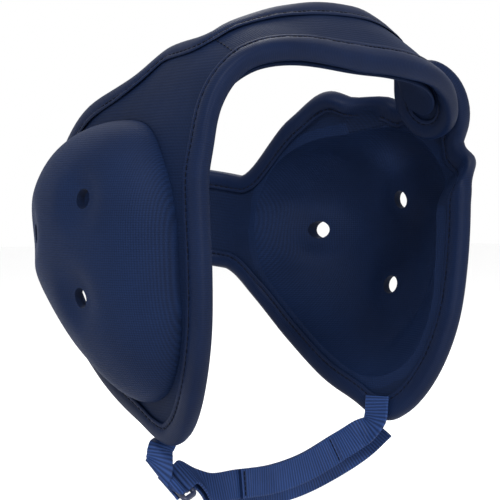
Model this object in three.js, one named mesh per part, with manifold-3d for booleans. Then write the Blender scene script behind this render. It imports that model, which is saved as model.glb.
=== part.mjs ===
// Wrestling ear guard, as worn: two padded halves with domed ear cups, and a chin strap.
// Millimetres, +Z up. The wearer faces -Y and the wearer's left is +X.
// The origin is the inner face of the top band at the middle of the head.

import * as THREE from 'three';
import { mergeVertices } from 'three/addons/utils/BufferGeometryUtils.js';
import Module from 'manifold-3d';

const wasm = await Module();
wasm.setup();

// Form of the opened guard's inner face, measured from the middle of the line between the ear points
const formHalfBreadth = 83;
const formFrontLength = 150;
const formRearLength = 112;
const formRise = 109;
const formJawReach = 160;
const formSquareness = 3;
// How much wider the form gets towards the front, narrower towards the rear and wider towards the top, per
// millimetre
const formFrontFlare = 0.0022;
const formRearFlare = 0.0018;
const formTopFlare = 0.0008;

// Padded sheet of each half
const padThickness = 6;
const panelHeight = 150;
const panelWidth = 150;
const bandLeanDegrees = 36;
const bandWidth = 50;
const bandBankDegrees = 40;
const rearArmRiseDegrees = 10;
const rearArmWidth = 56;
const longTopArm = 238;
const shortTopArm = 107;
const longRearArm = 213;
const shortRearArm = 152;
const longTopRoot = 118;
const shortTopRoot = 84;
const rootReach = 2;
const rearRoot = 86;

// Folded tape round the edges
const tapeThickness = 1.3;
const tapeWidth = 10;
const seatGap = 0.3;
const foldGap = 0.95;
const cupGap = 1.3;
const layerGap = 0.9;
const armGap = 1.4;

// Ear cup
const cupHeight = 146;
const cupWidth = 150;
const cupDepth = 35;
const cupWall = 4.5;
const ventDiameter = 10.5;

// Strip of padding under the band, and the hidden fasteners
const bandPadThickness = 4.5;
const bandPadGap = 1.4;
const bandPadWidth = 28;
const bandPadFrom = 84;
const bandPadEnd = 14;
const fastenerLength = 18;
const fastenerWidth = 26;
const fastenerGap = 0.8;

// Webbing
const webbingWidth = 16;
const webbingThickness = 1.6;
const strapSpan = 170;
const patchGap = 1.1;
const keeperGap = 0.6;

// Ring of the chin strap: its bar, the space between its bars and the way it lies
const ringBar = 3;
const ringOpening = 5;
const ringSlack = 1.2;
const ringLead = 4;

// Outline of a half beside the ear, from the foot up the front, then the crook between the arms, then from the
// rear arm down to the foot. Shares of panelHeight above the ear point and of panelWidth in front of it.
const PANEL_FRONT = [
  { up: -0.615, front: 0.345 },
  { up: -0.550, front: 0.410 },
  { up: -0.430, front: 0.480 },
  { up: -0.260, front: 0.535 },
  { up: -0.050, front: 0.558 },
  { up: 0.160, front: 0.560 },
  { up: 0.270, front: 0.556 },
  { up: 0.360, front: 0.565 },
  { up: 0.490, front: 0.570 },
];
const PANEL_CROOK = [
  { up: 0.655, front: 0.135 },
  { up: 0.590, front: -0.010 },
  { up: 0.510, front: -0.230 },
];
const PANEL_REAR = [
  { up: -0.192, front: -0.436 },
  { up: -0.371, front: -0.254 },
  { up: -0.519, front: -0.054 },
  { up: -0.592, front: 0.103 },
  { up: -0.635, front: 0.190 },
  { up: -0.650, front: 0.270 },
];

// Outline of the ear cup: shares of cupHeight above the ear point and of cupWidth in front of it
const CUP_OUTLINE = [
  { up: -0.520, front: 0.150 },
  { up: -0.490, front: 0.285 },
  { up: -0.410, front: 0.370 },
  { up: -0.240, front: 0.432 },
  { up: -0.020, front: 0.442 },
  { up: 0.190, front: 0.425 },
  { up: 0.340, front: 0.350 },
  { up: 0.435, front: 0.240 },
  { up: 0.465, front: 0.080 },
  { up: 0.440, front: -0.160 },
  { up: 0.340, front: -0.340 },
  { up: 0.140, front: -0.440 },
  { up: -0.080, front: -0.400 },
  { up: -0.280, front: -0.230 },
  { up: -0.440, front: -0.030 },
];

// Vents in each cup: shares of cupHeight above the ear point and of cupWidth in front of it
const VENTS = [
  { up: 0.195, front: 0.113 },
  { up: -0.150, front: 0.073 },
  { up: 0.070, front: -0.265 },
];

// Highest place of the dome, as shares like the outline's, and the dome's profile from its peak to its rim
const CUP_PEAK = { up: 0.05, front: -0.1 };
const CUP_PROFILE = { flatness: 2.6, fullness: 0.52 };

// Chin strap from the ring to the left foot, and its lower layer from the ring to the free end: shares of
// strapSpan to the left, to the front and up from the middle of the form, and degrees that the webbing's width
// is turned from straight down towards the front
const STRAP_UPPER = [
  { left: -0.290, front: 0.190, up: -0.729, turn: 30 },
  { left: -0.165, front: 0.182, up: -0.735, turn: 8 },
  { left: -0.012, front: 0.171, up: -0.735, turn: 0 },
  { left: 0.129, front: 0.171, up: -0.712, turn: 4 },
  { left: 0.276, front: 0.171, up: -0.665, turn: 20 },
  { left: 0.371, front: 0.176, up: -0.629, turn: 40 },
];
const STRAP_LOWER = [
  { left: -0.270, front: 0.168, up: -0.748, turn: 26 },
  { left: -0.130, front: 0.159, up: -0.772, turn: 8 },
  { left: -0.010, front: 0.148, up: -0.778, turn: 0 },
  { left: 0.125, front: 0.148, up: -0.765, turn: 4 },
  { left: 0.271, front: 0.152, up: -0.724, turn: 20 },
  { left: 0.405, front: 0.165, up: -0.668, turn: 44 },
  { left: 0.494, front: 0.175, up: -0.612, turn: 60 },
];
// Rows of the upper layer that the patch covers
const PATCH_ROWS = { first: 1, last: 4 };
const RING_PLACE = { left: -0.4065, front: 0.168, up: -0.702 };
const RING_ALONG = { left: 0.35, front: 0.6, up: -0.72 };
const RING_ACROSS = { left: 0.863, front: -0.253, up: 0.437 };
// Webbing under the inner faces of the feet, as shares like the panel outline's, and the keeper's bend below
const STRAP_FOOT = [{ up: -0.670, front: 0.240 }, { up: -0.570, front: 0.235 }];
const KEEPER_FOOT = [{ up: -0.560, front: 0.150 }, { up: -0.660, front: 0.155 }];
const KEEPER_BEND = [{ left: -0.490, front: 0.152, up: -0.672, turn: 55 }];

// Facets
const runSteps = 3;
const tipSteps = 5;
const armStep = 14;
const armCells = 6;
const padRings = 5;
const holeSteps = 720;
const cupSteps = 32;
const cupRings = 5;
const ventSides = 12;
const stripSteps = 12;
const stripRound = 6;
const tapeRound = 3.5;
const foldSteps = 4;
const webbingSteps = 2;
const ringSides = 8;

const tapeProud = foldGap + tapeThickness;
const layerPitch = padThickness + 2 * tapeProud + armGap;
const bandPadTop = -(tapeProud + bandPadGap);
const bandLift = bandPadThickness - bandPadTop;
const armRadius = (formHalfBreadth + formRearLength + formRise) / 3;

const radians = THREE.MathUtils.degToRad;
const degrees = THREE.MathUtils.radToDeg;
const smoothstep = THREE.MathUtils.smoothstep;
const lerp = THREE.MathUtils.lerp;

// Lengths of the form's axes towards a direction
function formAxes(direction) {
  return new THREE.Vector3(
    formHalfBreadth,
    direction.y < 0 ? formFrontLength : formRearLength,
    direction.z > 0 ? formRise : formJawReach,
  );
}

// Breadth factor of the flare at a point
function flare(point) {
  return (1 - frontFlare(point) * point.y) * (1 + formTopFlare * point.z);
}

function frontFlare(point) {
  return point.y < 0 ? formFrontFlare : formRearFlare;
}

// Point on the form in a direction from its middle, before the flare
function formPoint(direction) {
  const axes = formAxes(direction);
  const sum = ['x', 'y', 'z'].reduce((total, key) => (
    total + Math.abs(direction[key] / axes[key]) ** formSquareness
  ), 0);
  return direction.clone().multiplyScalar(sum ** (-1 / formSquareness));
}

// Outward normal of the flared form where a direction meets it
function formNormal(direction) {
  const axes = formAxes(direction);
  const point = formPoint(direction);
  const slope = (key) => (
    Math.sign(point[key]) * Math.abs(point[key] / axes[key]) ** (formSquareness - 1) / axes[key]
  );
  const factor = flare(point);
  const across = slope('x') / factor;
  const lean = across * point.x;
  return new THREE.Vector3(
    across,
    slope('y') + lean * frontFlare(point) * (1 + formTopFlare * point.z),
    slope('z') - lean * formTopFlare * (1 - frontFlare(point) * point.y),
  ).normalize();
}

const leanAngle = radians(bandLeanDegrees);
const bandTop = new THREE.Vector3(0, -Math.sin(leanAngle), Math.cos(leanAngle));
const formMiddle = formPoint(bandTop).negate();

// One half of the guard: side is -1 for the wearer's right and 1 for the left
function guardHalf(side, longArms) {
  const rise = radians(rearArmRiseDegrees);
  return {
    side,
    longArms,
    ear: new THREE.Vector3(side, 0, 0),
    up: new THREE.Vector3(0, 0, 1),
    front: new THREE.Vector3(0, -1, 0),
    topWay: bandTop,
    rearWay: new THREE.Vector3(0, Math.cos(rise), Math.sin(rise)),
  };
}

// Angle in degrees from the ear, along an arm's way, of a direction
function wayAngle(half, way, direction) {
  return degrees(Math.atan2(direction.dot(way), direction.dot(half.ear)));
}

// Unit vector across an arm, towards the front on the top arm and upwards on the rear arm
function acrossWay(half, way) {
  return half.ear.clone().cross(way).multiplyScalar(half.side);
}

// Height of a half's inner face above the form. The band pad lies under the long top arm, the short arms pass
// over the ends of the long ones, and the band is banked so that its rear edge stands higher than its front.
function innerLift(half, direction) {
  const top = wayAngle(half, half.topWay, direction);
  const rear = wayAngle(half, half.rearWay, direction);
  const across = direction.dot(acrossWay(half, half.topWay)) * armRadius;
  const bank = -Math.tan(radians(bandBankDegrees)) * across * smoothstep(top, 60, 95) * (1 - smoothstep(top, 100, 132));
  if (half.longArms) {
    return bank + bandLift * smoothstep(top, 48, 70);
  }
  const beside = 1 - smoothstep(Math.abs(across), 0.45 * bandWidth, 0.8 * bandWidth);
  const overTop = (bandLift + layerPitch) * smoothstep(top, 26, 44) * beside;
  const overRear = layerPitch * smoothstep(rear, 34, 56);
  return bank + Math.max(overTop, overRear);
}

function surfacePoint(half, direction, height) {
  const point = formPoint(direction);
  point.x *= flare(point);
  return point.add(formMiddle).addScaledVector(formNormal(direction), innerLift(half, direction) + height);
}

// Direction of the place on the form that lies so many millimetres up and to the front of the ear
function patternWay(half, up, front) {
  const place = new THREE.Vector3(0, -front, up);
  const axes = formAxes(place);
  const rest = 1 - Math.abs(place.y / axes.y) ** formSquareness - Math.abs(place.z / axes.z) ** formSquareness;
  place.x = half.side * axes.x * rest ** (1 / formSquareness);
  return place.normalize();
}

// Direction of a place on an arm, in millimetres along it from the ear and across it
function armWay(half, way, along, across) {
  const angle = along / armRadius;
  const centre = half.ear.clone().multiplyScalar(Math.cos(angle)).addScaledVector(way, Math.sin(angle));
  const turn = across / formPoint(centre).length();
  return centre.multiplyScalar(Math.cos(turn)).addScaledVector(acrossWay(half, way), Math.sin(turn));
}

// Rungs across an arm from its root to its rounded tip
function armRungs(length, root, width) {
  const halfWidth = width / 2;
  const reach = length - halfWidth;
  const spans = Math.max(1, Math.round((reach - root) / armStep));
  const straight = Array.from({ length: spans }, (_, span) => (
    { along: lerp(root, reach, span / spans), halfWidth }
  ));
  const round = Array.from({ length: tipSteps }, (_, step) => {
    const angle = (step / tipSteps) * (Math.PI / 2);
    return { along: reach + Math.sin(angle) * halfWidth, halfWidth: Math.cos(angle) * halfWidth };
  });
  return [...straight, ...round];
}

// The two edges and the tip of an arm, as directions from the middle of the form
function armEdges(half, way, length, root, width) {
  const rungs = armRungs(length, root, width);
  const edge = (side) => rungs.map((rung) => armWay(half, way, rung.along, side * rung.halfWidth));
  return { high: edge(1), low: edge(-1), tip: armWay(half, way, length, 0) };
}

// Smooth run of directions between two arms' roots through given places, without its ends
function bodyRun(places, before, after) {
  const points = [before[1], before[0], ...places, after[0], after[1]];
  const curve = new THREE.CatmullRomCurve3(points, false, 'centripetal');
  const steps = (places.length + 1) * runSteps;
  return Array.from({ length: steps - 1 }, (_, step) => (
    curve.getPoint((1 + (step + 1) / runSteps) / (points.length - 1)).normalize()
  ));
}

// Closed outline of a half, with the first places of its two arms in it
function halfOutline(half) {
  const bandAcross = bandWidth * Math.cos(radians(bandBankDegrees));
  const top = half.longArms
    ? armEdges(half, half.topWay, longTopArm, longTopRoot, bandAcross)
    : armEdges(half, half.topWay, shortTopArm, shortTopRoot, bandAcross);
  const rear = armEdges(half, half.rearWay, half.longArms ? longRearArm : shortRearArm, rearRoot, rearArmWidth);
  const rootAngle = degrees((half.longArms ? longTopRoot : shortTopRoot) / armRadius) + rootReach;
  const places = (rows) => rows
    .map((row) => patternWay(half, row.up * panelHeight, row.front * panelWidth))
    .filter((place) => wayAngle(half, half.topWay, place) < rootAngle);
  const lower = bodyRun(places([...PANEL_REAR, ...PANEL_FRONT]), rear.low, top.high);
  const crook = bodyRun(places(PANEL_CROOK), top.low, rear.high);
  const around = (arm) => [...arm.high, arm.tip, ...[...arm.low].reverse()];
  return {
    ways: [...lower, ...around(top), ...crook, ...around(rear)],
    arms: [
      { start: lower.length, rungs: top.high.length },
      { start: lower.length + 2 * top.high.length + 1 + crook.length, rungs: rear.high.length },
    ],
  };
}

// Signed volume of an indexed geometry, positive where its faces point out
function signedVolume(geometry) {
  const place = geometry.attributes.position;
  const index = geometry.index.array;
  const corner = [new THREE.Vector3(), new THREE.Vector3(), new THREE.Vector3()];
  let volume = 0;
  for (let face = 0; face < index.length; face += 3) {
    corner.forEach((point, which) => point.fromBufferAttribute(place, index[face + which]));
    volume += corner[0].dot(corner[1].cross(corner[2]));
  }
  return volume;
}

// Geometry from points and faces, with the faces turned to point out
function closedGeometry(points, faces) {
  const geometry = new THREE.BufferGeometry();
  geometry.setAttribute('position', new THREE.Float32BufferAttribute(points.flatMap((p) => [p.x, p.y, p.z]), 3));
  geometry.setIndex(faces.flat());
  if (signedVolume(geometry) < 0) {
    geometry.setIndex(faces.map((face) => [...face].reverse()).flat());
  }
  geometry.computeVertexNormals();
  return geometry;
}

// Closed body through rings of equal point count: a closed chain of rings, or an open one with flat ends
function ringBody(rings, closed) {
  const count = rings[0].length;
  const faces = [];
  const spans = closed ? rings.length : rings.length - 1;
  for (let ring = 0; ring < spans; ring += 1) {
    const next = (ring + 1) % rings.length;
    for (let index = 0; index < count; index += 1) {
      const after = (index + 1) % count;
      const [a, b, c, d] = [ring * count + index, ring * count + after, next * count + after, next * count + index];
      faces.push([a, b, c], [a, c, d]);
    }
  }
  if (!closed) {
    const last = (rings.length - 1) * count;
    for (let index = 1; index < count - 1; index += 1) {
      faces.push([0, index + 1, index], [last, last + index, last + index + 1]);
    }
  }
  return closedGeometry(rings.flat(), faces);
}

function toSolid(geometry) {
  const bare = geometry.clone();
  bare.deleteAttribute('normal');
  bare.deleteAttribute('uv');
  const merged = mergeVertices(bare, 1e-4);
  return new wasm.Manifold(new wasm.Mesh({
    numProp: 3,
    vertProperties: new Float32Array(merged.attributes.position.array),
    triVerts: new Uint32Array(merged.index.array),
  }));
}

function fromSolid(solid) {
  const mesh = solid.getMesh();
  const geometry = new THREE.BufferGeometry();
  geometry.setAttribute('position', new THREE.Float32BufferAttribute(mesh.vertProperties, 3));
  geometry.setIndex(Array.from(mesh.triVerts));
  geometry.computeVertexNormals();
  return geometry;
}

// Closed loop round the ear cup's outline, grown outwards by a distance
function cupLoop(half, grow, count) {
  const places = CUP_OUTLINE.map((row) => {
    const up = row.up * cupHeight;
    const front = row.front * cupWidth;
    const scale = 1 + grow / Math.hypot(up, front);
    return patternWay(half, up * scale, front * scale);
  });
  const curve = new THREE.CatmullRomCurve3(places, true, 'centripetal');
  return curve.getSpacedPoints(count).slice(0, -1).map((point) => point.normalize());
}

// Bearing of a direction round the ear, from straight down through the front
function bearing(half, direction) {
  return Math.atan2(direction.dot(half.front), -direction.dot(half.up));
}

// Smallest turn between two bearings, with its sign
function turnBetween(from, to) {
  return Math.atan2(Math.sin(to - from), Math.cos(to - from));
}

// Direction part of the way between two others, along their reach from the ear and their bearing round it
function between(half, from, to, share) {
  const start = bearing(half, from);
  const round = start + share * turnBetween(start, bearing(half, to));
  const reach = lerp(from.angleTo(half.ear), to.angleTo(half.ear), share);
  return half.ear.clone().multiplyScalar(Math.cos(reach))
    .addScaledVector(half.front, Math.sin(reach) * Math.sin(round))
    .addScaledVector(half.up, -Math.sin(reach) * Math.cos(round));
}

// Outline of a half moved inwards along its surface by a distance
function insetOutline(half, loop, distance) {
  return loop.map((way, index) => {
    const before = loop.at(index - 1);
    const after = loop[(index + 1) % loop.length];
    const inward = way.clone().cross(after.clone().sub(before)).normalize();
    return way.clone().addScaledVector(inward, -half.side * distance / formPoint(way).length()).normalize();
  });
}

// Places on a straight line between two directions
function lineWays(from, to, spans) {
  return Array.from({ length: spans + 1 }, (_, span) => from.clone().lerp(to, span / spans).normalize());
}

// Cells of a grid of directions, row by row
function gridCells(rows, closed) {
  const cells = [];
  const last = closed ? rows.length : rows.length - 1;
  for (let row = 0; row < last; row += 1) {
    const next = rows[(row + 1) % rows.length];
    for (let column = 0; column < rows[row].length - 1; column += 1) {
      cells.push([rows[row][column], rows[row][column + 1], next[column + 1], next[column]]);
    }
  }
  return cells;
}

// Solid between two heights over a sheet of cells, each a ring of directions, with walls along its free edges
function thickSheet(half, cells, low, high) {
  const ways = [];
  const known = new Map();
  const number = (way) => {
    const key = way.toArray().map((value) => value.toFixed(6)).join();
    if (!known.has(key)) {
      known.set(key, ways.length);
      ways.push(way);
    }
    return known.get(key);
  };
  const faces = cells.flatMap((cell) => {
    const corners = cell.map(number);
    return corners.slice(2).map((corner, index) => [corners[0], corners[index + 1], corner]);
  }).filter(([a, b, c]) => a !== b && b !== c && c !== a);
  const count = ways.length;
  const edges = new Map();
  faces.forEach(([a, b, c]) => [[a, b], [b, c], [c, a]].forEach(([from, to]) => edges.set(`${from},${to}`, [from, to])));
  const walls = [...edges.values()].filter(([from, to]) => !edges.has(`${to},${from}`));
  return closedGeometry(
    [...ways.map((way) => surfacePoint(half, way, low)), ...ways.map((way) => surfacePoint(half, way, high))],
    [
      ...faces.map(([a, b, c]) => [a, c, b]),
      ...faces.map((face) => face.map((corner) => corner + count)),
      ...walls.flatMap(([from, to]) => [[from, to, to + count], [from, to + count, from + count]]),
    ],
  );
}

// Padded sheet of a half, from the ear cup's edge to the fold of the tape: a ring of cells round the cup, and a
// ladder of cells along each arm
function sidePad(half) {
  const outline = halfOutline(half);
  const edge = insetOutline(half, outline.ways, tapeRound + foldGap);
  const flap = insetOutline(half, outline.ways, tapeWidth);
  const hole = cupLoop(half, cupGap, holeSteps);
  const body = [];
  const run = (from, to) => edge.slice(from, to).map((outer, index) => ({ outer, next: flap[from + index] }));
  const cells = [];
  let done = 0;
  outline.arms.forEach(({ start, rungs }) => {
    const end = start + 2 * rungs;
    const ladder = Array.from({ length: rungs }, (_, rung) => lineWays(edge[start + rung], edge[end - rung], armCells));
    cells.push(...gridCells(ladder, false));
    const cap = ladder.at(-1);
    cells.push(...cap.slice(1).map((way, index) => [edge[start + rungs], cap[index], way]));
    body.push(...run(done, start), ...ladder[0].map((outer) => ({ outer })));
    done = end + 1;
  });
  body.push(...run(done));
  const rows = body.map(({ outer, next }) => {
    const wanted = bearing(half, outer);
    const miss = (way) => Math.abs(turnBetween(bearing(half, way), wanted));
    const inner = hole.reduce((best, way) => (miss(way) < miss(best) ? way : best));
    const second = next ?? between(half, outer, inner, 0.12);
    return [outer, ...Array.from({ length: padRings }, (_, ring) => between(half, second, inner, ring / (padRings - 1)))];
  });
  cells.push(...gridCells(rows, true));
  return thickSheet(half, cells, 0, padThickness);
}

// Folded tape round a half: a hooked section along the outline, with the padded sheet's edge in its fold
function edgeBinding(half) {
  const outline = halfOutline(half).ways;
  const slot = padThickness / 2 + foldGap;
  const outside = slot + tapeThickness;
  const section = [
    [tapeWidth, outside], [0.42 * tapeWidth, outside], [0, 0.45 * outside],
    [0, -0.45 * outside], [0.42 * tapeWidth, -outside], [tapeWidth, -outside],
    [tapeWidth, -slot], [tapeRound, -slot], [tapeRound, slot], [tapeWidth, slot],
  ];
  const loops = section.map(([inset]) => insetOutline(half, outline, inset));
  const rings = outline.map((_, index) => section.map(([, height], corner) => (
    surfacePoint(half, loops[corner][index], padThickness / 2 + height)
  )));
  return ringBody(rings, true);
}

// Ear cup: a hollow dome whose rim fills the thickness of the padded sheet
function earCup(half) {
  const rim = cupLoop(half, 0, cupSteps);
  const centre = patternWay(half, CUP_PEAK.up * cupHeight, CUP_PEAK.front * cupWidth);
  const inside = cupLoop(half, -cupWall, cupSteps);
  const dome = (share) => (1 - share ** CUP_PROFILE.flatness) ** CUP_PROFILE.fullness;
  const place = (edge, share, base, height) => {
    const way = centre.clone().lerp(edge, share).normalize();
    return surfacePoint(half, way, base).addScaledVector(half.ear, height * dome(share));
  };
  const points = [];
  const faces = [];
  const shares = Array.from({ length: cupRings }, (_, ring) => 1 - (ring / cupRings) ** 1.6).reverse();
  const addRing = (ring) => points.push(...ring);
  addRing(shares.slice(0, 1).map(() => place(rim[0], 0, padThickness, cupDepth)));
  shares.forEach((share) => addRing(rim.map((edge) => place(edge, share, padThickness, cupDepth))));
  addRing(rim.map((edge) => surfacePoint(half, edge, 0)));
  [...shares].reverse().forEach((share) => (
    addRing(inside.map((edge) => place(edge, share, 0, cupDepth + padThickness - cupWall)))
  ));
  addRing([place(rim[0], 0, 0, cupDepth + padThickness - cupWall)]);
  const rings = 2 * shares.length + 1;
  const last = points.length - 1;
  for (let index = 0; index < cupSteps; index += 1) {
    const after = (index + 1) % cupSteps;
    faces.push([0, 1 + index, 1 + after]);
    for (let ring = 0; ring < rings - 1; ring += 1) {
      const start = 1 + ring * cupSteps;
      const [a, b, c, d] = [start + index, start + after, start + cupSteps + after, start + cupSteps + index];
      faces.push([a, d, c], [a, c, b]);
    }
    const inner = 1 + (rings - 1) * cupSteps;
    faces.push([inner + index, last, inner + after]);
  }
  return fromSolid(VENTS.reduce(
    (solid, row) => solid.subtract(toSolid(ventDrill(half, row))),
    toSolid(closedGeometry(points, faces)),
  ));
}

function ventDrill(half, row) {
  const length = 2 * (cupDepth + padThickness);
  const drill = new THREE.CylinderGeometry(ventDiameter / 2, ventDiameter / 2, length, ventSides);
  const way = patternWay(half, row.up * cupHeight, row.front * cupWidth);
  const middle = surfacePoint(half, way, padThickness).addScaledVector(half.ear, cupDepth);
  const turn = new THREE.Quaternion().setFromUnitVectors(new THREE.Vector3(0, 1, 0), half.ear);
  return drill.applyQuaternion(turn).translate(middle.x, middle.y, middle.z);
}

// Strip laid along an arm's centre line between two heights above the arm's inner face
function armStrip(half, way, from, to, width, low, high, across) {
  const rings = Array.from({ length: stripSteps + 1 }, (_, step) => {
    const share = step / stripSteps;
    const place = lerp(from, to, share);
    const round = Math.sqrt(Math.max(0, 1 - Math.abs(2 * share - 1) ** stripRound));
    const halfWidth = Math.max(0.3, round) * width / 2;
    const at = (side, height) => surfacePoint(half, armWay(half, way, place, across + side * halfWidth), height);
    return [at(-1, high), at(1, high), at(1, lerp(low, high, 0.4)), at(0.7, low), at(-0.7, low), at(-1, lerp(low, high, 0.4))];
  });
  return ringBody(rings, false);
}

// Flat webbing along a route, from each row's place and the way that its width runs
function webbingBody(rows, width, thickness, perSpan) {
  const curve = new THREE.CatmullRomCurve3(rows.map((row) => row.place), false, 'centripetal');
  const spread = new THREE.CatmullRomCurve3(rows.map((row) => row.width.clone().normalize()), false, 'centripetal');
  const count = (rows.length - 1) * perSpan;
  const rings = Array.from({ length: count + 1 }, (_, step) => {
    const share = step / count;
    const along = curve.getTangent(share);
    const across = spread.getPoint(share);
    across.addScaledVector(along, -across.dot(along)).setLength(width / 2);
    const face = along.clone().cross(across).setLength(thickness / 2);
    const middle = curve.getPoint(share);
    return [[1, 1], [-1, 1], [-1, -1], [1, -1]].map(([side, out]) => (
      middle.clone().addScaledVector(across, side).addScaledVector(face, out)
    ));
  });
  return ringBody(rings, false);
}

// Vector from shares to the left, to the front and up
function shareVector(row, size) {
  return new THREE.Vector3(row.left, -row.front, row.up).multiplyScalar(size);
}

// Way of the webbing's width, turned from straight down towards the front
function widthWay(turn) {
  return new THREE.Vector3(0, 0, -Math.cos(radians(turn)))
    .addScaledVector(new THREE.Vector3(0.5, -0.85, 0).normalize(), Math.sin(radians(turn)));
}

function strapRows(table) {
  return table.map((row) => ({ place: shareVector(row, strapSpan).add(formMiddle), width: widthWay(row.turn) }));
}

// The ring: its middle, the way along its bars, across them and out of its flat side towards the front
function ringFrame() {
  const along = shareVector(RING_ALONG, 1).normalize();
  const across = shareVector(RING_ACROSS, 1);
  across.addScaledVector(along, -across.dot(along)).normalize();
  const out = along.clone().cross(across);
  if (out.y > 0) out.negate();
  return { middle: shareVector(RING_PLACE, strapSpan).add(formMiddle), along, across, out };
}

// Fold of webbing round one of the ring's bars, from its rear side to its front side
function ringFold(ring, side) {
  const reach = (ringOpening + ringBar) / 2;
  const radius = ringBar / 2 + seatGap + webbingThickness / 2;
  const row = (across, out) => ({
    place: ring.middle.clone().addScaledVector(ring.across, side * across).addScaledVector(ring.out, out),
    width: ring.along,
  });
  const fold = Array.from({ length: foldSteps + 1 }, (_, step) => {
    const angle = (step / foldSteps) * Math.PI;
    return row(reach - Math.sin(angle) * radius, -Math.cos(angle) * radius);
  });
  return [row(reach + ringLead, -radius), ...fold, row(reach + ringLead, radius)];
}

// Rectangular ring with bevelled bars
function strapRing() {
  const ring = ringFrame();
  const halfLong = webbingWidth / 2 + ringSlack + ringBar / 2;
  const halfWide = (ringOpening + ringBar) / 2;
  const corners = [[1, 1], [-1, 1], [-1, -1], [1, -1]].flatMap(([x, y]) => {
    const cut = ringBar / 3;
    const first = [x * (halfLong - (x === y ? 0 : cut)), y * (halfWide - (x === y ? cut : 0))];
    const second = [x * (halfLong - (x === y ? cut : 0)), y * (halfWide - (x === y ? 0 : cut))];
    return [first, second];
  });
  const rings = corners.map(([x, y]) => (
    Array.from({ length: ringSides }, (_, side) => {
      const angle = (side / ringSides) * 2 * Math.PI;
      const way = new THREE.Vector2(x / halfLong, y / halfWide);
      const outward = (Math.cos(angle) * ringBar) / 2;
      return ring.middle.clone()
        .addScaledVector(ring.along, x + Math.sign(x) * (Math.abs(way.x) > 0.99 ? 1 : 0.6) * outward)
        .addScaledVector(ring.across, y + Math.sign(y) * (Math.abs(way.y) > 0.99 ? 1 : 0.6) * outward)
        .addScaledVector(ring.out, (Math.sin(angle) * ringBar) / 2);
    })
  ));
  return ringBody(rings, true);
}

// Place under a half's inner face for webbing that lies there, with its width along the face
function footRow(half, row, layers) {
  const at = (front, height) => (
    surfacePoint(half, patternWay(half, row.up * panelHeight, row.front * panelWidth + front), height)
  );
  const depth = tapeProud + layerGap + (layers * webbingThickness + (layers - 1) * keeperGap) / 2;
  return { place: at(0, -depth), width: at(webbingWidth / 2, 0).sub(at(-webbingWidth / 2, 0)) };
}

// Webbing loop from the right foot round the ring's bar and back
function keeperRows() {
  const ring = ringFrame();
  const fold = ringFold(ring, -1);
  const bar = ring.middle.clone().addScaledVector(ring.across, -(ringOpening + ringBar) / 2);
  const centre = [...KEEPER_FOOT.map((row) => footRow(right, row, 2)), ...strapRows(KEEPER_BEND)];
  const nearest = (webbingThickness + keeperGap) / 2;
  const farthest = fold[1].place.distanceTo(bar);
  const layer = (side) => centre.map(({ place, width }, index) => {
    const after = index + 1 < centre.length ? centre[index + 1].place : bar;
    const before = index > 0 ? centre[index - 1].place : place;
    const spread = lerp(nearest, farthest, (index / centre.length) ** 2);
    const outside = after.clone().sub(before).cross(width).setLength(side * spread);
    return { place: place.clone().add(outside), width };
  });
  return [...layer(1), ...fold, ...layer(-1).reverse()];
}

// Second layer of webbing on the front of the chin strap's upper layer
function patchRows(upper) {
  const rows = upper.slice(PATCH_ROWS.first, PATCH_ROWS.last + 1);
  return rows.map(({ place, width }, index) => {
    const after = upper[PATCH_ROWS.first + index + 1].place;
    const before = upper[PATCH_ROWS.first + index - 1].place;
    const outwards = after.clone().sub(before).cross(width);
    outwards.multiplyScalar(-Math.sign(outwards.y)).setLength(webbingThickness + patchGap);
    return { place: place.clone().add(outwards), width };
  });
}

const right = guardHalf(-1, true);
const left = guardHalf(1, false);
const guard = new THREE.Group();

function addPiece(name, geometry, material) {
  const mesh = new THREE.Mesh(geometry, material);
  mesh.name = name;
  guard.add(mesh);
}

const jersey = new THREE.MeshStandardMaterial({ color: 0x1b2645, roughness: 0.85, metalness: 0 });
const tape = new THREE.MeshStandardMaterial({ color: 0x1a2442, roughness: 0.7, metalness: 0 });
const hookTape = new THREE.MeshStandardMaterial({ color: 0x10141f, roughness: 0.95, metalness: 0 });
const webbing = new THREE.MeshStandardMaterial({ color: 0x24345c, roughness: 0.75, metalness: 0 });
const plastic = new THREE.MeshStandardMaterial({ color: 0x111827, roughness: 0.4, metalness: 0 });

[[right, 'right'], [left, 'left']].forEach(([half, name]) => {
  addPiece(`side_pad_${name}`, sidePad(half), jersey);
  addPiece(`edge_binding_${name}`, edgeBinding(half), tape);
  addPiece(`ear_cup_${name}`, earCup(half), jersey);
});
const overlapMiddle = (longRearArm + Math.PI * armRadius - shortRearArm) / 2;
addPiece('rear_fastener', armStrip(right, right.rearWay, overlapMiddle - fastenerLength / 2,
  overlapMiddle + fastenerLength / 2, fastenerWidth, padThickness + fastenerGap, layerPitch - fastenerGap, 0), hookTape);
const upper = [...strapRows(STRAP_UPPER), ...STRAP_FOOT.map((row) => footRow(left, row, 1))];
addPiece('chin_strap', webbingBody([...strapRows(STRAP_LOWER).reverse(), ...ringFold(ringFrame(), 1), ...upper],
  webbingWidth, webbingThickness, webbingSteps), webbing);
addPiece('strap_patch', webbingBody(patchRows(upper), webbingWidth, webbingThickness, webbingSteps), webbing);
addPiece('strap_keeper', webbingBody(keeperRows(), webbingWidth, webbingThickness, webbingSteps), webbing);
addPiece('strap_ring', strapRing(), plastic);
addPiece('band_pad', armStrip(right, right.topWay, bandPadFrom, longTopArm - bandPadEnd, bandPadWidth,
  bandPadTop - bandPadThickness, bandPadTop, 0), jersey);

export default guard;
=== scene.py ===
# Wrestling ear guard: padded halves with domed cups, taped edges and a chin strap of webbing.
# The shapes are worked out in millimetres and stored in metres. The wearer faces -Y, and +Z is up.

import math

import bmesh
import bpy
import numpy as np
from mathutils import Matrix, Vector, noise


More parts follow.
